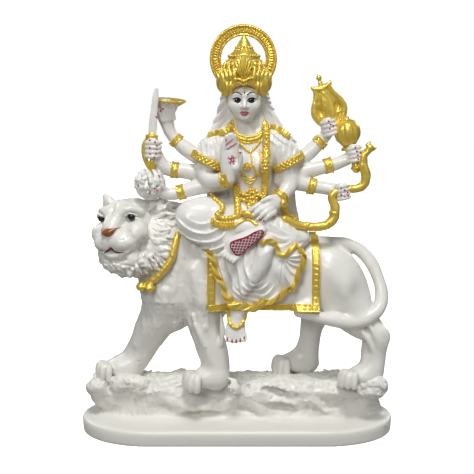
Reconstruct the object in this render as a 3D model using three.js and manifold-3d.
// A painted cast figure of an eight-armed goddess who rides side-saddle on a walking lion.
// The lion stands on a rock, and rock, lion, rider and plinth are one casting, so they make one solid.
// Millimetres, +Z up, +Y away from the viewer who faces the front. The origin is under the plinth's middle.
// Carved points are written from a line LAYOUT_AHEAD before the plinth's middle, and from its top.
import * as THREE from "three";
import { mergeVertices } from "three/addons/utils/BufferGeometryUtils.js";
import Module from "manifold-3d";

const PLINTH_LENGTH = 240;
const PLINTH_DEPTH = 76;
const PLINTH_HEIGHT = 12;
const PLINTH_EDGE = 1.6;
const PLINTH_ROUND_END = 55;
const LAYOUT_AHEAD = 10;
const SINK = 2;
const BAND = 1.1;
const MOST_FACES = 9900;
const CAST_COLOUR = 0xf1efe8;

const wasm = await Module();
wasm.setup();

const DEEP = new THREE.Vector3(0, 1, 0);
const UP = new THREE.Vector3(0, 0, 1);
const deg = THREE.MathUtils.degToRad;
const vec = (p) => new THREE.Vector3(p[0], p[1], p[2]);
const lerp = THREE.MathUtils.lerp;

// Turns a closed geometry into a solid, without the slivers that a pole or a seam leaves.
function solid(geometry) {
  const bare = geometry.index ? geometry.toNonIndexed() : geometry.clone();
  for (const name of Object.keys(bare.attributes)) {
    if (name !== "position") bare.deleteAttribute(name);
  }
  const merged = mergeVertices(bare, 1e-4);
  const corners = merged.index.array;
  const faces = [];
  for (let i = 0; i < corners.length; i += 3) {
    const [a, b, c] = [corners[i], corners[i + 1], corners[i + 2]];
    if (a !== b && b !== c && c !== a) faces.push([a, b, c]);
  }
  const points = pointsOf(merged.attributes.position.array);
  const outward = volumeOf(points, faces) > 0 ? faces : faces.map(([a, b, c]) => [a, c, b]);
  return new wasm.Manifold(
    new wasm.Mesh({
      numProp: 3,
      vertProperties: merged.attributes.position.array,
      triVerts: new Uint32Array(outward.flat()),
    }),
  );
}

function pointsOf(numbers) {
  return Array.from({ length: numbers.length / 3 }, (_, i) =>
    new THREE.Vector3().fromArray(numbers, 3 * i),
  );
}

function volumeOf(points, faces) {
  const cross = new THREE.Vector3();
  return faces.reduce(
    (sum, [a, b, c]) => sum + cross.crossVectors(points[b], points[c]).dot(points[a]) / 6,
    0,
  );
}

function facesAround(points, faces) {
  const around = points.map(() => []);
  for (const face of faces) {
    for (const corner of face) around[corner].push(face);
  }
  return around;
}

// Fills the pockets that joined forms close off between them: their skins face inwards.
function withoutPockets(points, faces) {
  const around = facesAround(points, faces);
  const seen = new Set();
  const kept = [];
  for (const start of faces) {
    if (seen.has(start)) continue;
    const shell = [start];
    seen.add(start);
    for (const face of shell) {
      for (const near of face.flatMap((corner) => around[corner])) {
        if (seen.has(near)) continue;
        seen.add(near);
        shell.push(near);
      }
    }
    if (volumeOf(points, shell) > 0) kept.push(...shell);
  }
  return kept;
}

// Draws together the corners whose loss shows least, until the skin has few enough faces.
// A step that would fold a face over, or pinch the skin, is passed by.
function thinned(points, faces, most) {
  const [ab, ac] = [new THREE.Vector3(), new THREE.Vector3()];
  const planeOf = ([a, b, c], moved = null, place = null) => {
    const [p, q, r] = [a, b, c].map((i) => (moved && moved.includes(i) ? place : points[i]));
    const normal = new THREE.Vector3().crossVectors(ab.subVectors(q, p), ac.subVectors(r, p));
    const area = normal.length() / 2;
    normal.divideScalar(2 * area || 1);
    return { normal, area, offset: normal.dot(p) };
  };
  while (faces.length > most) {
    const around = facesAround(points, faces);
    const planes = new Map(faces.map((face) => [face, planeOf(face)]));
    const steps = [];
    for (const face of faces) {
      for (let k = 0; k < 3; k++) {
        const [a, b] = [face[k], face[(k + 1) % 3]];
        if (a > b) continue;
        const near = new Set([...around[a], ...around[b]]);
        const length = points[a].distanceToSquared(points[b]);
        const middle = points[a].clone().lerp(points[b], 0.5);
        for (const place of [points[a].clone(), points[b].clone(), middle]) {
          let loss = 2e-4 * length * length;
          for (const f of near) {
            const { normal, area, offset } = planes.get(f);
            loss += area * (normal.dot(place) - offset) ** 2;
          }
          steps.push({ a, b, place, loss, near });
        }
      }
    }
    steps.sort((one, other) => one.loss - other.loss);
    const touched = new Set();
    const gone = new Set();
    const quota = Math.min(faces.length - most, faces.length * 0.12);
    for (const { a, b, place, near } of steps) {
      if (gone.size >= quota) break;
      const corners = new Set([...near].flat());
      if ([...corners].some((corner) => touched.has(corner))) continue;
      const ringA = new Set(around[a].flat());
      const shared = [...new Set(around[b].flat())].filter((c) => c !== a && c !== b && ringA.has(c));
      if (shared.length !== 2) continue;
      const kept = [...near].filter((f) => !(f.includes(a) && f.includes(b)));
      const folds = kept.some((f) => {
        const after = planeOf(f, [a, b], place);
        return after.area < 0.004 || after.normal.dot(planes.get(f).normal) < 0.25;
      });
      if (folds) continue;
      points[a] = place;
      for (const f of near) {
        if (f.includes(a) && f.includes(b)) gone.add(f);
      }
      for (const f of kept) {
        const at = f.indexOf(b);
        if (at >= 0) f[at] = a;
      }
      for (const corner of corners) touched.add(corner);
    }
    if (gone.size === 0) break;
    faces = faces.filter((f) => !gone.has(f));
  }
  return faces;
}

function geometryOf(manifold, most) {
  const mesh = manifold.getMesh();
  const points = pointsOf(mesh.vertProperties);
  const corners = Array.from({ length: mesh.triVerts.length / 3 }, (_, i) => [
    ...mesh.triVerts.subarray(3 * i, 3 * i + 3),
  ]);
  const faces = thinned(points, withoutPockets(points, corners), most);
  const used = [...new Set(faces.flat())];
  const place = new Map(used.map((corner, i) => [corner, i]));
  return meshFrom(used.map((corner) => points[corner]), faces.map((f) => f.map((c) => place.get(c))));
}

function meshFrom(points, faces) {
  const flat = points.flatMap((p) => [p.x, p.y, p.z]);
  return new THREE.BufferGeometry()
    .setAttribute("position", new THREE.Float32BufferAttribute(flat, 3))
    .setIndex(faces.flat());
}

// Joins rows of points, each a closed ring, into one skin with a pole at either end.
function skin(rings, first, last) {
  const sides = rings[0].length;
  const points = rings.flat();
  const faces = [];
  for (let r = 0; r + 1 < rings.length; r++) {
    for (let s = 0; s < sides; s++) {
      const [a, b] = [r * sides + s, r * sides + ((s + 1) % sides)];
      faces.push([a, b, b + sides], [a, b + sides, a + sides]);
    }
  }
  const [low, high] = [points.length, points.length + 1];
  const top = (rings.length - 1) * sides;
  for (let s = 0; s < sides; s++) {
    const next = (s + 1) % sides;
    faces.push([low, next, s], [high, top + s, top + next]);
  }
  return meshFrom([...points, first, last], faces);
}

// A limb through stations [x, y, z, radius across, radius deep], with an oval section and domed ends.
// Fold, if given, swells the radius round the section: fold(share along, angle) is added as a share.
function limb(stations, { sides = 8, steps = 2, level = DEEP, fold = null, dome = 1 } = {}) {
  const path = new THREE.CatmullRomCurve3(stations.map(vec), false, "centripetal");
  const size = new THREE.CatmullRomCurve3(
    stations.map((s) => new THREE.Vector3(s[3], s[4] ?? s[3], 0)),
  );
  const count = (stations.length - 1) * steps;
  const ringAt = (t, shift, shrink) => {
    const along = path.getTangent(t);
    const across = new THREE.Vector3().crossVectors(level, along).normalize();
    const deep = new THREE.Vector3().crossVectors(along, across).normalize();
    const { x: ra, y: rb } = size.getPoint(t);
    const centre = path.getPoint(t).addScaledVector(along, shift);
    return Array.from({ length: sides }, (_, s) => {
      const angle = (2 * Math.PI * s) / sides;
      const swell = shrink * (1 + (fold ? fold(t, angle) : 0));
      return centre
        .clone()
        .addScaledVector(across, Math.cos(angle) * ra * swell)
        .addScaledVector(deep, Math.sin(angle) * rb * swell);
    });
  };
  const endSize = (t) => Math.min(size.getPoint(t).x, size.getPoint(t).y) * dome;
  const rings = Array.from({ length: count + 1 }, (_, i) => ringAt(i / count, 0, 1));
  if (dome > 0) {
    rings.unshift(ringAt(0, -endSize(0) * 0.6, 0.75));
    rings.push(ringAt(1, endSize(1) * 0.6, 0.75));
  }
  const first = path.getPoint(0).addScaledVector(path.getTangent(0), -endSize(0));
  const last = path.getPoint(1).addScaledVector(path.getTangent(1), endSize(1));
  return skin(rings, first, last);
}

function ball(centre, radii, turn = [0, 0, 0], segments = 8, rows = 6) {
  const [rx, ry, rz] = Array.isArray(radii) ? radii : [radii, radii, radii];
  return new THREE.SphereGeometry(1, segments, rows)
    .rotateX(Math.PI / 2)
    .scale(rx, ry, rz)
    .applyMatrix4(new THREE.Matrix4().makeRotationFromEuler(new THREE.Euler(...turn.map(deg))))
    .translate(...centre);
}

// A turned form about its own upright axis, from a profile of [radius, height] pairs.
function turned(profile, segments, centre = [0, 0, 0], turn = [0, 0, 0]) {
  return new THREE.LatheGeometry(profile.map((p) => new THREE.Vector2(...p)), segments)
    .rotateX(Math.PI / 2)
    .applyMatrix4(new THREE.Matrix4().makeRotationFromEuler(new THREE.Euler(...turn.map(deg))))
    .translate(...centre);
}

// A closed sheet: surface(u, v) gives its front, and back(u, v) the same point on its other face.
function plate(surface, back, nu, nv) {
  const points = [];
  const faces = [];
  for (const side of [surface, back]) {
    for (let i = 0; i <= nu; i++) {
      for (let j = 0; j <= nv; j++) points.push(side(i / nu, j / nv));
    }
  }
  const row = nv + 1;
  const half = (nu + 1) * row;
  const quad = (a, b, c, d) => faces.push([a, b, c], [a, c, d]);
  for (let i = 0; i < nu; i++) {
    for (let j = 0; j < nv; j++) {
      const a = i * row + j;
      quad(a, a + row, a + row + 1, a + 1);
      quad(half + a, half + a + 1, half + a + row + 1, half + a + row);
    }
  }
  for (let i = 0; i < nu; i++) {
    const [a, b] = [i * row, i * row + nv];
    quad(a, half + a, half + a + row, a + row);
    quad(b, b + row, half + b + row, half + b);
  }
  for (let j = 0; j < nv; j++) {
    const b = nu * row + j;
    quad(j, j + 1, half + j + 1, half + j);
    quad(b, half + b, half + b + 1, b + 1);
  }
  return meshFrom(points, faces);
}

// A flat ribbon that lies on the front of the figure along a route, and reaches back into it.
function ribbon(route, width, reach = 4, steps = 3, ends = false) {
  const path = new THREE.CatmullRomCurve3(route.map(vec));
  const count = (route.length - 1) * steps;
  const edge = (u, v, back) => {
    const along = path.getTangent(u);
    const across = new THREE.Vector3().crossVectors(DEEP, along).normalize();
    const narrow = ends ? Math.max(0.25, Math.sin(Math.PI * u)) : 1;
    return path
      .getPoint(u)
      .addScaledVector(across, (v - 0.5) * width * narrow)
      .addScaledVector(DEEP, back);
  };
  return plate((u, v) => edge(u, v, 0), (u, v) => edge(u, v, reach), count, 1);
}

// A plain band round a limb, at one station of it.
function cuff(at, along, radii, width, sides = 10) {
  const [ra, rb] = Array.isArray(radii) ? radii : [radii, radii];
  const direction = vec(along).normalize().multiplyScalar(width / 2);
  const [a, b] = [vec(at).sub(direction), vec(at).add(direction)];
  return limb([[a.x, a.y, a.z, ra, rb], [b.x, b.y, b.z, ra, rb]], { sides, steps: 1, dome: 0 });
}

function placed(geometries, matrix) {
  return geometries.map((g) => g.applyMatrix4(matrix));
}

// A repeatable unevenness between -1 and 1, for stone.
function rough(x, y, seed) {
  const a = Math.sin(x * 0.117 + seed * 1.7) * Math.cos(y * 0.193 - seed);
  const b = Math.sin(x * 0.271 - y * 0.311 + seed * 2.9);
  return 0.6 * a + 0.4 * b;
}

function plinth() {
  const middle = PLINTH_LENGTH / 2 - PLINTH_ROUND_END;
  const [long, deep] = [PLINTH_ROUND_END - PLINTH_EDGE, PLINTH_DEPTH / 2 - PLINTH_EDGE];
  const outline = new THREE.Shape();
  outline.absellipse(middle, 0, long, deep, -Math.PI / 2, Math.PI / 2);
  outline.absellipse(-middle, 0, long, deep, Math.PI / 2, (3 * Math.PI) / 2);
  return new THREE.ExtrudeGeometry(outline, {
    depth: PLINTH_HEIGHT - 2 * PLINTH_EDGE,
    bevelSize: PLINTH_EDGE,
    bevelThickness: PLINTH_EDGE,
    bevelSegments: 1,
    curveSegments: 14,
  }).translate(0, 0, PLINTH_EDGE);
}

// The rock is a stack of level rings: a foot, a hollow, a rim that overhangs, and a rough top.
const ROCK_RINGS = [
  // half length, middle y, half depth, height, unevenness
  [108, 13, 18.5, -SINK, 0],
  [107, 13, 18.5, 4, 1.2],
  [106, 13, 18.5, 11, 2.4],
  [111, 11.5, 22.5, 19, 3.2],
  [108, 12.5, 20.5, 24.5, 2.6],
  [97, 13.5, 14, 28.5, 2],
  [70, 14, 6, 30, 1.5],
];
const ROCK_STEPS = 44;
// Ledges that run across the rock's front: [x, y, height, radius].
const LEDGES = [
  [[-62, -8, 22, 4], [-46, -10, 15, 4.5], [-30, -11, 9, 4], [-8, -11, 13, 4], [12, -9, 23, 3]],
  [[-20, -7, 4, 3], [4, -9, 9, 5], [30, -8, 6, 2.5]],
  [[14, -9, 20, 3], [38, -10, 12, 5], [62, -8, 5, 3]],
  [[50, -9, 22, 3], [78, -11, 17, 3.6], [104, -8, 21, 3]],
];

function rock() {
  const rings = ROCK_RINGS.map(([long, middle, deep, height, uneven], row) =>
    Array.from({ length: ROCK_STEPS }, (_, i) => {
      const angle = (2 * Math.PI * i) / ROCK_STEPS;
      const [c, s] = [Math.cos(angle), Math.sin(angle)];
      const x = 4 + long * Math.sign(c) * Math.abs(c) ** 0.55;
      const bulge = uneven * rough(x, row * 9, row);
      const y = middle + (deep + bulge) * Math.sign(s) * Math.abs(s) ** 0.6;
      const dip = 5 * Math.exp(-(((x + 35) / 16) ** 2)) * (row === 3 ? 1 : 0);
      const lift = uneven * rough(x * 1.6, y * 2, row + 4) - dip;
      return new THREE.Vector3(x, y, height + lift);
    }),
  );
  return [
    skin(rings, new THREE.Vector3(0, 15, -SINK), new THREE.Vector3(0, 13, 30)),
    ...LEDGES.map((ledge) => limb(ledge, { sides: 6, steps: 1, dome: 0.5 })),
  ];
}

// The lion walks towards -X. Its near side is the viewer's side.
const LION_TRUNK = [
  [82, 11, 103, 17, 15],
  [72, 10, 107, 27, 20],
  [60, 10, 110, 29, 21],
  [36, 10, 111, 27, 21],
  [8, 10, 111.5, 28, 22],
  [-19, 10, 113, 31, 22],
  [-42, 9, 113, 29, 20],
  [-56, 6, 108, 17, 14],
];
const LION_NECK = [
  [-22, 9, 122, 22, 18],
  [-46, 8, 130, 29, 20],
  [-62, 5, 136, 28, 20],
  [-73, 4, 141, 24, 17],
];
const LION_LEGS = [
  [ // near hind
    [66, -2, 112, 22, 9],
    [79, -3, 95, 21, 11],
    [90, -4, 79, 13, 10],
    [104, -4, 67.5, 8.6, 8],
    [105, -4, 55, 8, 7.5],
    [103, -5, 42, 8.8, 8.5],
    [98, -6, 34, 9, 9],
  ],
  [ // far hind
    [66, 16, 94, 18, 10],
    [60, 20, 68, 9.8, 9],
    [57.5, 22, 50, 9, 8.5],
    [53, 23, 37, 11, 9],
  ],
  [ // near fore
    [-24, -1, 103, 20, 11],
    [-25, -3, 82, 14.5, 12],
    [-23, -4, 69, 11.6, 10.5],
    [-18.5, -5, 55, 10.6, 9.8],
    [-16, -5, 43, 10.2, 10],
    [-18, -6, 36, 11, 10],
  ],
  [ // far fore
    [-47, 8, 96, 20, 12],
    [-60, 12, 75, 15.5, 12.5],
    [-68, 13, 62, 12.6, 11],
    [-74, 14, 51, 11.6, 10.5],
    [-80, 14, 41, 11.5, 10.5],
    [-86, 13, 34, 12, 11],
  ],
];
// Paws: middle of the pad, half length, half width, half height.
const LION_PAWS = [
  [[91, -7, 34.5], 15, 10, 7],
  [[42, 21, 34.5], 16, 10, 7.5],
  [[-24, -8, 34.5], 14, 10.5, 7.5],
  [[-94, 12, 34], 14, 11, 9],
];
const TOES = 4;
const TAIL = [
  [67, 9, 132, 6],
  [81, 12, 133, 5.2],
  [94, 11, 127, 4.8],
  [102, 6, 117, 4.6],
  [106.8, 1, 104.5, 4.6],
  [107, -4, 93.5, 4.6],
  [102, -9, 85.5, 4.7],
  [90.5, -12.5, 80, 4.8],
  [75.5, -14, 80, 4.7],
  [59, -15, 83.5, 4.2],
  [45, -15, 87, 3],
];

function paw([middle, long, wide, high]) {
  const toes = Array.from({ length: TOES }, (_, i) => {
    const across = (i / (TOES - 1) - 0.5) * 2;
    const x = middle[0] - long * (0.86 - 0.18 * across * across);
    const y = middle[1] + across * wide * 0.68;
    return ball([x, y, middle[2] - high * 0.25], [long * 0.34, wide * 0.3, high * 0.72], [0, 0, 0], 6, 4);
  });
  return [ball(middle, [long, wide, high], [0, 8, 0], 10, 6), ...toes];
}

function lionBody() {
  return [
    limb(LION_TRUNK, { sides: 14, steps: 1 }),
    limb(LION_NECK, { sides: 12, steps: 1 }),
    ball([-50, 2, 100], [22, 15, 20], [0, 20, 0], 10, 8),
    ...LION_LEGS.map((leg) => limb(leg, { sides: 10, steps: 1 })),
    ...LION_PAWS.flatMap(paw),
    limb(TAIL, { sides: 7, steps: 2 }),
  ];
}

// The lion's head looks along its own -Y, and is turned towards the viewer's left.
const HEAD_PLACE = [-78.8, 1, 143];
const HEAD_TURN = [2, -6, -27];
const RUFF_LOCKS = 15;

function lionHead() {
  const parts = [
    ball([0, 2, 6], [21, 19, 19], [0, 0, 0], 12, 8),
    ball([0, 9, -5], [27, 15, 27], [0, 0, 0], 12, 8),
    ball([0, -15, -6], [15, 13, 11], [0, 0, 0], 10, 8),
    ball([0, -8, -17], [13, 13, 10], [0, 0, 0], 10, 6),
    limb([[0, -6, 18, 8, 6], [0, -15, 12, 6.5, 6], [0, -22, 4, 6, 5]], { sides: 8, level: UP }),
    ball([0, -26.5, 1.5], [5, 3, 3], [0, 0, 0], 8, 4),
    ball([0, -20, -14.5], [8, 6, 3.5], [0, 0, 0], 8, 4),
  ];
  for (const side of [-1, 1]) {
    parts.push(
      ball([side * 8, -20, -4.5], [8.6, 8.5, 7.5], [0, 0, 0], 8, 6),
      ball([side * 16, -7, -8], [9, 10, 10], [0, 0, 0], 8, 6),
      ball([side * 11, -12, 15], [8, 6, 5], [0, side * -12, 0], 8, 4),
      ball([side * 12.4, -13.2, 11.5], [3, 2.6, 2.6], [0, 0, 0], 8, 6),
      ball([side * 19.5, 4, 21], [5.5, 3.5, 9], [0, side * 24, 0], 8, 6),
    );
  }
  for (let i = 0; i < RUFF_LOCKS; i++) {
    const angle = deg(lerp(-60, 240, i / (RUFF_LOCKS - 1)));
    const [c, s] = [Math.cos(angle), -Math.sin(angle)];
    parts.push(
      limb(
        [
          [c * 17, -3, s * 17 - 4, 5, 4],
          [c * 25, 3, s * 25 - 6, 5, 4],
          [c * 30, 9, s * 30 - 9, 1.6, 1.6],
        ],
        { sides: 5, steps: 1 },
      ),
    );
  }
  const matrix = new THREE.Matrix4().compose(
    vec(HEAD_PLACE),
    new THREE.Quaternion().setFromEuler(new THREE.Euler(...HEAD_TURN.map(deg), "ZYX")),
    new THREE.Vector3(1, 1, 1),
  );
  return placed(parts, matrix);
}

// Collar strap with its round bells, from behind the ear down to the chest.
const COLLAR = [
  [-42, -6, 150],
  [-44.5, -12.5, 137],
  [-49, -15, 124],
  [-57, -15.5, 115],
  [-66, -14, 108.5],
  [-74, -8, 106],
  [-79, 2, 106],
];
const BELLS = [[-63.5, -17, 105.5], [-69.5, -15, 103.5]];

function collar() {
  return [
    limb(COLLAR.map((p) => [...p, 2.6]), { sides: 6, steps: 1 }),
    ...BELLS.map((p) => ball(p, 3.4, [0, 0, 0], 8, 6)),
  ];
}

// The saddle cloth follows the lion's round side from the spine down to its hem.
const SADDLE = { left: -21, right: 59.5, top: 139, hem: 89.5, flank: 23.5, middle: 10, thick: 1.6 };

function saddleAt(u, v, out) {
  const { left, right, top, hem, flank, middle } = SADDLE;
  const x = lerp(left, right, u);
  const angle = lerp(deg(78), deg(-16), v);
  const swell = flank + out + 1.2 * Math.sin(u * 9 + v * 2);
  const y = middle - swell * Math.cos(angle);
  const z = lerp(top, hem, v ** 1.15) + (1 - v) * out;
  return new THREE.Vector3(x, y, z);
}

function saddleCloth() {
  const bandAcross = 0.068;
  const strip = (u0, u1, v0, v1) => {
    const at = (out) => (u, v) => saddleAt(lerp(u0, u1, u), lerp(v0, v1, v), out);
    return plate(at(SADDLE.thick + BAND), at(-3), u1 - u0 > 0.5 ? 10 : 1, v1 - v0 > 0.5 ? 8 : 1);
  };
  return [
    plate((u, v) => saddleAt(u, v, SADDLE.thick), (u, v) => saddleAt(u, v, -5), 10, 8),
    strip(-0.004, bandAcross, 0, 1.01),
    strip(1 - bandAcross, 1.004, 0, 1.01),
    strip(-0.004, 1.004, 0.93, 1.015),
  ];
}

// The rider sits on the lion's back and faces the viewer.
const TORSO = [
  [12, 3, 140, 24, 15],
  [11, 3, 152, 21, 13],
  [9.5, 3, 168, 15.5, 10.5],
  [8.5, 3, 184, 17, 12],
  [7.5, 3, 198, 21, 12],
  [6.8, 3, 209, 19, 9],
];
const VEIL = [
  [6, 6, 252, 15, 11],
  [6, 8, 236, 18.5, 11],
  [7, 9, 221, 26, 11.5],
  [8, 10, 205, 35, 11],
  [9.5, 11, 190, 34, 11],
  [11, 12, 170, 32, 11],
  [12, 13, 150, 34, 13],
];
const FACE = [5.2, -1.5, 237.5];
const FACE_SIZE = [10.8, 11.2, 12.6];

function riderTrunk() {
  return [
    limb(TORSO, { sides: 14, steps: 1 }),
    ball([0.5, -6.5, 194], [8, 6.5, 7.5], [0, 0, 0], 8, 6),
    ball([16, -6.5, 194], [8, 6.5, 7.5], [0, 0, 0], 8, 6),
    limb([[6.5, 1, 208, 7.5, 7], [5.8, 0, 221, 6, 6]], { sides: 10, steps: 1 }),
    limb(VEIL, {
      sides: 20,
      steps: 1,
      dome: 0.4,
      fold: (t, a) => 0.05 * Math.cos(7 * a + 1) * Math.min(1, 3 * t),
    }),
    ball(FACE, FACE_SIZE, [0, 0, 0], 14, 10),
    ball([FACE[0], FACE[1] - 2.2, FACE[2] - 7.6], [7.8, 8.6, 8.2], [0, 0, 0], 12, 8),
    limb([[FACE[0], FACE[1] - 9.8, FACE[2] + 0.6, 0.9], [FACE[0], FACE[1] - 12, FACE[2] - 3.8, 1.7]], {
      sides: 6, steps: 1, dome: 0.6,
    }),
    ball([FACE[0], FACE[1] - 9.9, FACE[2] - 8], [3, 1.7, 1.7], [0, 0, 0], 8, 4),
    ball([FACE[0], FACE[1] - 8.6, FACE[2] - 13], [2.8, 2.4, 2.4], [0, 0, 0], 8, 4),
  ];
}

// Crown: a domed tier over a flared rim, with a row of leaves and a fluted boss in front.
const CROWN_PLACE = [5, 3, 242.5];
const CROWN_PROFILE = [
  [0, 0], [15, 0], [16.2, 4], [17.6, 10], [17.2, 13.5], [14.6, 14.5], [14.8, 18], [13.4, 19.5],
  [12.6, 23], [10.6, 24.5], [9.4, 28], [6.6, 30], [6.8, 32], [4.6, 36], [2.2, 40], [0, 42],
];
const CROWN_LEAVES = 9;
const HALO = { centre: [4.6, 12, 269], outer: 24.3, inner: 16.3, thick: 4.2 };
const HALO_RIBS = 30;

function crown() {
  const [x, y, z] = CROWN_PLACE;
  const leaves = Array.from({ length: CROWN_LEAVES }, (_, i) => {
    const angle = deg(lerp(-80, 80, i / (CROWN_LEAVES - 1)));
    const [c, s] = [Math.cos(angle), Math.sin(angle)];
    return ball([x + 16.4 * s, y - 15.4 * c, z + 8.5], [2.6, 2, 5.6], [0, 0, 0], 6, 4);
  });
  return [
    turned(CROWN_PROFILE, 18, CROWN_PLACE),
    ball([x, y - 14.6, z + 12], [6, 3.8, 7.4], [0, 0, 0], 10, 6),
    ball([x - 15.5, y - 3, z + 2], [3.4, 5, 7], [0, 14, 0], 6, 4),
    ball([x + 15.5, y - 3, z + 2], [3.4, 5, 7], [0, -14, 0], 6, 4),
    ...leaves,
  ];
}

function halo() {
  const { centre, outer, inner, thick } = HALO;
  const flat = (outer - inner) / 2;
  const middle = (outer + inner) / 2;
  const profile = [
    [inner, -thick / 2], [outer - 0.8, -thick / 2], [outer, 0], [outer - 0.8, thick / 2],
    [middle + flat * 0.45, thick / 2 - 0.9], [middle + flat * 0.2, thick / 2], [inner, thick / 2],
    [inner, -thick / 2],
  ];
  const ring = turned(profile, HALO_RIBS, [0, 0, 0]);
  return placed([ring], new THREE.Matrix4().makeRotationX(Math.PI / 2).setPosition(...centre));
}

// Arms: stations from shoulder to wrist. Bands are cuffs near the wrist.
const ARMS = {
  disc: [[-14, 4, 192, 6.4], [-27.8, 6, 198.5, 5.8], [-38, 6, 205, 5.3], [-45.2, 6, 211.5, 4.4],
    [-49.2, 6, 218, 4.2]],
  sword: [[-13, 2, 184, 6.8], [-27, 1, 187, 6.2], [-38.5, 0, 189, 5.6], [-47.5, -1, 190, 5.3],
    [-53.6, -3, 193, 5], [-56.6, -4, 200, 4.4]],
  lotus: [[-10, -2, 181, 6.6], [-23, -3, 178.8, 6.2], [-34, -4, 176, 5.4], [-42, -5, 173.5, 4.6],
    [-49, -6, 172.5, 4.2]],
  blessing: [[-13, 1, 206, 9], [-19.5, -2, 197, 8.6], [-23, -5, 187.5, 6.4], [-18, -10, 183, 5.4],
    [-6, -16, 185, 4.8]],
  resting: [[30, 1, 206, 9], [35, -1, 194, 8.2], [38, -4, 181, 6.6], [34.5, -8, 174.5, 5.4],
    [29.5, -12, 169.5, 4.8]],
  trident: [[33, 4, 186, 6.6], [46.5, 5, 197, 5.8], [55, 5, 204, 5.2], [61.2, 5, 210.5, 4.5],
    [66, 4, 217, 4.3]],
  mace: [[36, 2, 184, 6.6], [50, 2, 189, 5.8], [59, 2, 191, 5.2], [67.6, 2, 193, 4.6],
    [75, 1, 197, 4.4]],
  bow: [[33, 1, 183, 6.8], [46, 0, 180.3, 6], [54.5, -1, 178, 5], [64, -2, 175.8, 4.6],
    [69, -3, 175, 4.6]],
};
const CUFFS = [
  // place, direction, radii, width
  [[-44.4, 6, 210.8], [-7, 0, 7], 5.4, 4],
  [[-45, -0.8, 189.8], [-1, 0, 0.1], 6, 5],
  [[-40.5, -4.8, 174], [-1, 0, -0.3], 5.6, 5.4],
  [[-7.5, -15.2, 184.8], [1, -0.5, 0.2], 6, 6],
  [[30.6, -11, 170.8], [-4, -4, -4.5], 5.9, 4.6],
  [[60.4, 5, 209.6], [6, 0, 6.4], 5.4, 5],
  [[66.4, 2, 192.7], [9, 0, 2], 5.6, 6],
  [[54.5, -1, 178], [10, -1, -2.4], 6, 5.4],
];

// A hand from the wrist: palm, four fingers and a thumb, in a frame given by the way that the
// fingers point and the way that the palm faces. Curl is how far the fingers bend, in degrees.
function hand(wrist, point, palm, size, curl, thumbSide = 1) {
  const along = vec(point).normalize();
  const facing = vec(palm).addScaledVector(along, -vec(palm).dot(along)).normalize();
  const across = new THREE.Vector3().crossVectors(along, facing).multiplyScalar(thumbSide);
  const at = (a, b, c) =>
    vec(wrist).addScaledVector(along, a * size).addScaledVector(across, b * size).addScaledVector(facing, c * size);
  const bend = deg(curl);
  const parts = [
    limb(
      [[...at(0, 0, 0), 0.17 * size, 0.14 * size], [...at(0.3, 0, 0), 0.24 * size, 0.13 * size],
        [...at(0.52, 0, 0), 0.24 * size, 0.11 * size]],
      { sides: 8, steps: 1, level: facing },
    ),
  ];
  for (let i = 0; i < 4; i++) {
    const b = 0.19 - i * 0.127;
    const long = 0.4 - Math.abs(i - 1.3) * 0.035;
    const knuckle = at(0.54, b, 0);
    const joint = at(0.54 + long * 0.5 * Math.cos(bend / 2), b, long * 0.5 * Math.sin(bend / 2));
    const tip = at(
      0.54 + long * (0.5 * Math.cos(bend / 2) + 0.42 * Math.cos(bend * 1.3)),
      b,
      long * (0.5 * Math.sin(bend / 2) + 0.42 * Math.sin(bend * 1.3)),
    );
    parts.push(
      limb([[...knuckle, 0.075 * size], [...joint, 0.068 * size], [...tip, 0.055 * size]], {
        sides: 5,
        steps: 1,
        level: across,
      }),
    );
  }
  parts.push(
    limb([[...at(0.16, 0.18, 0.03), 0.09 * size], [...at(0.36, 0.34, 0.08), 0.075 * size],
      [...at(0.56, 0.33, 0.13), 0.055 * size]], { sides: 5, steps: 1, level: facing }),
  );
  return parts;
}

function arms() {
  return [
    ...Object.values(ARMS).map((stations) => limb(stations, { sides: 8, steps: 1, dome: 0.5 })),
    ...CUFFS.map(([at, along, radii, width]) => cuff(at, along, radii, width, 8)),
    ...hand([-49.3, 6, 219], [-0.22, -0.05, 1], [0.4, -1, 0], 20, 18),
    ...hand([-56.8, -4, 200], [-0.3, -0.1, 1], [-0.3, -1, 0], 16, 105, -1),
    ...hand([-48.5, -6, 172.6], [-1, -0.2, 0.15], [0, -0.5, 1], 14, 70),
    ...hand([-6.5, -16.5, 186], [0.02, -0.12, 1], [0.3, -1, 0], 31, 4, 1),
    ...hand([30, -12, 169.8], [-1, -0.35, -0.62], [-0.2, 1, 0.2], 22, 40, -1),
    ...hand([65.6, 4, 216.4], [0.5, -0.1, 1], [0.2, -1, 0.2], 15, 110),
    ...hand([74.4, 1, 196.6], [1, -0.15, 0.75], [0, -1, 0.3], 15, 110),
    ...hand([68, -3, 175], [1, -0.2, 0.05], [0, -1, 0], 15, 100),
  ];
}

// Puffed sleeves that end in broad armlets.
function sleeves() {
  return [
    limb([[-11, 3, 213, 9, 8], [-16, 0, 205, 12, 10], [-19.5, -2, 198, 12, 10.5]], {
      sides: 12, steps: 1, dome: 0.4, fold: (t, a) => 0.07 * Math.cos(5 * a) * t,
    }),
    limb([[26, 3, 213, 9, 8], [31, 0, 206, 11.5, 10], [36, -1, 198, 11.5, 10]], {
      sides: 12, steps: 1, dome: 0.4, fold: (t, a) => 0.07 * Math.cos(5 * a) * t,
    }),
    cuff([-20, -2, 196.5], [-0.45, 0, -0.9], [12.6, 11.4], 4.6, 12),
    cuff([37, -1, 195.6], [0.5, 0, -0.9], [11, 10.6], 4.6, 12),
  ];
}

function attributes() {
  return [...sword(), ...disc(), ...lotus(), ...trident(), ...mace(), ...bow()];
}

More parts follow.
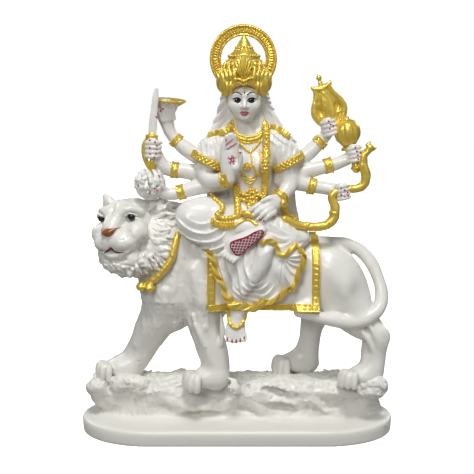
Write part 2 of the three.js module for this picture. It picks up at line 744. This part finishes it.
function sword() {
  return [
    limb([[-60.4, -7, 210, 3, 1.4], [-59.3, -7, 226, 2.7, 1.2], [-57.6, -7, 240, 2.2, 1.1],
      [-56.6, -7, 248, 1.2, 0.8]], { sides: 6, steps: 1 }),
    limb([[-60.2, -7, 192, 2, 2], [-60.2, -7, 213, 2.4, 2.2]], { sides: 6, steps: 1 }),
    cuff([-60, -7, 213], [0, 0, 1], [4, 3.2], 3, 8),
    limb([[-60, -7, 214, 1.4], [-65.6, -7, 208, 1.6], [-65.4, -7, 199, 1.6], [-60.6, -7, 191, 1.8]], {
      sides: 6, steps: 1,
    }),
  ];
}

const DISC = { centre: [-48.2, 4, 237.4], radius: 10.4, thick: 2.6 };

function disc() {
  const { centre, radius, thick } = DISC;
  const half = thick / 2;
  const profile = [[0, -half], [radius - 1, -half], [radius, 0], [radius - 1, half], [0, half * 0.6]];
  return [turned(profile, 16, centre, [6, 5, 0])];
}

const LOTUS = { centre: [-62.5, -7, 181], radius: 8.6, petals: 8, rows: 2 };

function lotus() {
  const { centre, radius, petals, rows } = LOTUS;
  const parts = [ball(centre, radius * 0.72, [0, 0, 0], 8, 6)];
  for (let row = 0; row < rows; row++) {
    for (let i = 0; i < petals; i++) {
      const angle = ((i + row / 2) * 2 * Math.PI) / petals;
      const lift = row * 0.55 - 0.1;
      const out = radius * (0.72 - 0.12 * row);
      const at = [
        centre[0] + out * Math.cos(angle),
        centre[1] + out * Math.sin(angle),
        centre[2] + radius * lift,
      ];
      parts.push(ball(at, [radius * 0.3, radius * 0.3, radius * 0.52], [0, 0, 0], 5, 4));
    }
  }
  return parts;
}

// The trident's head is one flat casting: a lyre of two horns round a leaf, with two eyes through it.
const TRIDENT = { place: [69.4, 3, 223.5], lean: -19, thick: 3.6 };

function trident() {
  const head = new THREE.Shape();
  head.moveTo(-3.4, -2);
  head.bezierCurveTo(-8, 0.5, -13, 4, -12.4, 11);
  head.bezierCurveTo(-12, 17, -6.4, 21, -6.2, 25);
  head.lineTo(-7.8, 28.6);
  head.lineTo(-4, 28);
  head.lineTo(-1.5, 30);
  head.lineTo(-2, 33);
  head.lineTo(0, 36);
  head.lineTo(2, 33);
  head.lineTo(1.5, 30);
  head.lineTo(4, 28);
  head.lineTo(7.8, 28.6);
  head.lineTo(6.2, 25);
  head.bezierCurveTo(6.4, 21, 12, 17, 12.4, 11);
  head.bezierCurveTo(13, 4, 8, 0.5, 3.4, -2);
  for (const side of [-1, 1]) {
    const eye = new THREE.Path();
    eye.absellipse(side * 6.2, 12, 2.2, 3.6, 0, 2 * Math.PI, false, side * -0.35);
    head.holes.push(eye);
  }
  const { place, lean, thick } = TRIDENT;
  const flat = new THREE.ExtrudeGeometry(head, { depth: thick, bevelEnabled: false, curveSegments: 5 })
    .translate(0, 0, -thick / 2)
    .rotateX(Math.PI / 2)
    .rotateY(deg(lean))
    .translate(...place);
  return [flat, limb([[65, 1, 212, 2], [70.5, 2, 222, 2.4]], { sides: 6, steps: 1 })];
}

function mace() {
  const profile = [
    [0, -14], [2.2, -14], [3, -9], [7.6, -4], [9, 1], [8.4, 6], [5.4, 9.5], [2.6, 11], [0, 12.4],
  ];
  return [
    turned(profile, 14, [79.8, 1, 215.5], [0, -8, 0]),
    limb([[84, -1, 204, 2.4], [86.6, -2, 189, 3.2]], { sides: 6, steps: 1 }),
  ];
}

const BOW = [
  [95.8, -5, 205.5, 2], [91, -5, 200.5, 2.6], [90.5, -5, 194, 2.9], [92.8, -5, 186.5, 3],
  [91.6, -5, 180, 2.9], [87, -5, 176.8, 2.7], [79, -6, 176, 2.3], [70, -8, 174, 2.3],
  [68, -8.6, 170, 2.5], [70.6, -9, 163.8, 2.9], [69.8, -9.5, 156, 3.1], [65, -10, 151, 3],
  [56, -10.5, 149.4, 2.7], [43, -12, 151.5, 2.5], [34, -13, 156, 2.2],
];

function bow() {
  return [limb(BOW, { sides: 6, steps: 1 })];
}

// Legs: one is folded on the saddle with its sole towards the viewer, the other hangs down.
function legs() {
  const toes = (count, at) => Array.from({ length: count }, (_, i) => at(i));
  return [
    limb([[6, -1, 149, 15, 12], [-10, -4, 155, 14, 12], [-24, -7, 158, 13.5, 12], [-33, -9, 158, 11, 10.5]], {
      sides: 12, steps: 1,
    }),
    limb([[-33, -10, 156, 11.5, 10], [-24, -12, 148, 12, 9], [-12, -15, 141, 9, 7], [-4, -17, 138, 6, 5]], {
      sides: 12, steps: 1, fold: (t, a) => 0.06 * Math.cos(6 * a),
    }),
    limb([[-26, -11, 156, 9, 8], [-6, -13, 151, 8, 7], [14, -15, 150, 6.5, 6]], { sides: 10, steps: 1 }),
    limb([[17, -23, 149, 3.6, 4.4], [7, -24, 143.4, 5.6, 4], [-2, -24.4, 138.6, 7, 3.6]], {
      sides: 8, steps: 1,
    }),
    ...toes(5, (i) => ball([-9 + i * 2, -24.6 + i * 0.3, 137.6 - i * 1.6], [3, 2.4, 1.8], [0, 30, 0], 6, 4)),
    limb([[12, -2, 148, 14, 12], [24, -8, 146, 13, 11.5], [36, -11, 139, 12, 10.5]], { sides: 12, steps: 1 }),
    limb([[35, -11, 139, 11, 9], [22, -13, 116, 9, 7.5], [5, -16, 92, 6, 5.6], [0.5, -17, 84, 5, 5]], {
      sides: 10, steps: 1,
    }),
    limb([[0, -17, 84, 6, 4.6], [-1.2, -19, 77, 7.4, 4], [-1.6, -21.5, 71, 7.6, 3]], { sides: 10, steps: 1 }),
    ...toes(5, (i) => ball([-7.6 + i * 3.1, -23, 68 - Math.abs(i - 1) * 0.4], [1.7, 2, 3], [0, 0, 0], 6, 4)),
    cuff([0.4, -17, 85.5], [-0.2, -0.2, -1], [6.8, 6], 2.4, 10),
  ];
}

// The skirt hangs over the saddle as a rounded panel whose folds fall from the raised knee.
const SKIRT_EDGE = [
  [47, 138], [47.4, 126], [44.6, 113.5], [38, 105], [29.5, 100], [18, 96.8], [8, 94.4], [-3.4, 96.4],
  [-9.4, 105.6], [-13, 116.4], [-17, 127], [-19, 138],
];
const SKIRT_TOP = [16, -19, 143];
const SKIRT_OUT = -19.5;
const SKIRT_BELLY = 5.5;

function skirtRim() {
  return new THREE.CatmullRomCurve3(SKIRT_EDGE.map(([x, z]) => new THREE.Vector3(x, SKIRT_OUT, z)));
}

function skirt() {
  const rim = skirtRim();
  const at = (u, v, deep) => {
    const point = vec(SKIRT_TOP).lerp(rim.getPoint(u), v);
    const fold = 1.5 * Math.sin(u * 34 + v * 3) * v;
    const belly = -SKIRT_BELLY * Math.sin(Math.PI * v ** 0.9) * Math.sin(Math.PI * u) ** 0.6;
    return point.add(new THREE.Vector3(0, fold + belly + deep, 0));
  };
  const fan = (u, v, deep) => at(u, lerp(0.04, 1, v), deep);
  return [
    plate((u, v) => fan(u, v, 0), (u, v) => fan(u, v, 12), 34, 6),
    ribbon(rim.getPoints(26).map((p) => [p.x, p.y - 2 + 0.8 * Math.sin(p.x + p.z), p.z]), 5, 8, 1),
    ribbon(
      [[14, -23.5, 142.6], [21, -24.4, 142], [27, -25, 138], [33, -24.6, 133.5], [39, -22.6, 134.5],
        [46, -19, 137.5]],
      4.2, 8, 2,
    ),
  ];
}

// Jewels, garland, belt and sashes, as raised bands.
function jewels() {
  return [
    limb([[-2.5, -4, 215.5, 1.8], [1.5, -6, 211.6, 1.8], [6.8, -7, 210.2, 1.8],
      [12.4, -6, 211.6, 1.8], [16.8, -4, 215.5, 1.8]], { sides: 6, steps: 2 }),
    limb([[17.5, -4, 224, 3], [20, -9, 216, 3.2], [20.4, -12.6, 205, 3.2], [20.6, -13.6, 194, 3.2],
      [20.4, -12.6, 183, 3.2], [19.8, -12.4, 172, 3.2], [17.6, -13, 165, 3]], { sides: 6, steps: 2 }),
    limb([[-3.2, -4, 224, 2.6], [-5.6, -7.6, 217, 2.6], [-5.2, -11, 210, 2.6]], { sides: 6, steps: 1 }),
    limb([[3, -7.4, 208, 1.4], [7, -8.6, 199, 1.4], [6.2, -9, 190, 1.8]], { sides: 5, steps: 1 }),
    limb([[13, -7.4, 208, 1.4], [8.4, -8.4, 200, 1.4]], { sides: 5, steps: 1 }),
    ball([6.2, -9.6, 189], [2.6, 2.6, 2.8], [0, 0, 0], 6, 4),
    ball([10.6, -11.6, 170], [6, 3.6, 7.6], [0, 0, 0], 8, 6),
    limb([[0.6, -10.4, 178, 2.6], [0.7, -12.4, 169, 2.6], [0.8, -16, 159, 2.6]], { sides: 6, steps: 1 }),
    limb([[-17, -9, 170, 1.6], [-13, -13, 166, 1.8], [-11, -17, 161, 2], [-6, -19.4, 157.6, 2.2],
      [2, -20, 157.4, 2.2], [9, -20.6, 159.6, 2], [15, -20.6, 157, 1.6]], { sides: 6, steps: 1 }),
    limb([[-12, -19, 156, 2.4], [-8, -21.6, 152.4, 2.6], [0, -22.6, 151, 2.6], [8, -22.8, 153.4, 2],
      [16, -22, 154.6, 1.6]], { sides: 6, steps: 1 }),
    limb([[30, -12, 166, 2], [32, -13.6, 160, 2.4], [36, -13, 155, 2.6]], { sides: 6, steps: 1 }),
    ribbon([[-24, -4.5, 211.5], [-17, -7.8, 214.5], [-10, -9, 216]], 3.4, 8, 1),
    ribbon([[22, -9, 219], [29, -7.5, 216], [36, -3.5, 210]], 3.2, 8, 1),
  ];
}

function group() {
  const carved = [
    ...rock(), ...lionBody(), ...lionHead(), ...collar(), ...saddleCloth(), ...riderTrunk(), ...crown(),
    ...halo(), ...arms(), ...sleeves(), ...attributes(), ...legs(), ...skirt(), ...jewels(),
  ];
  const solids = carved.map((g) => solid(g.translate(0, -LAYOUT_AHEAD, PLINTH_HEIGHT)));
  return wasm.Manifold.union([solid(plinth()), ...solids]);
}

const cast = new THREE.Mesh(
  geometryOf(group(), MOST_FACES),
  new THREE.MeshStandardMaterial({ color: CAST_COLOUR, roughness: 0.3, metalness: 0 }),
);
cast.name = "goddess_on_lion";

const figure = new THREE.Group();
figure.name = "figure";
figure.add(cast);
export default figure;
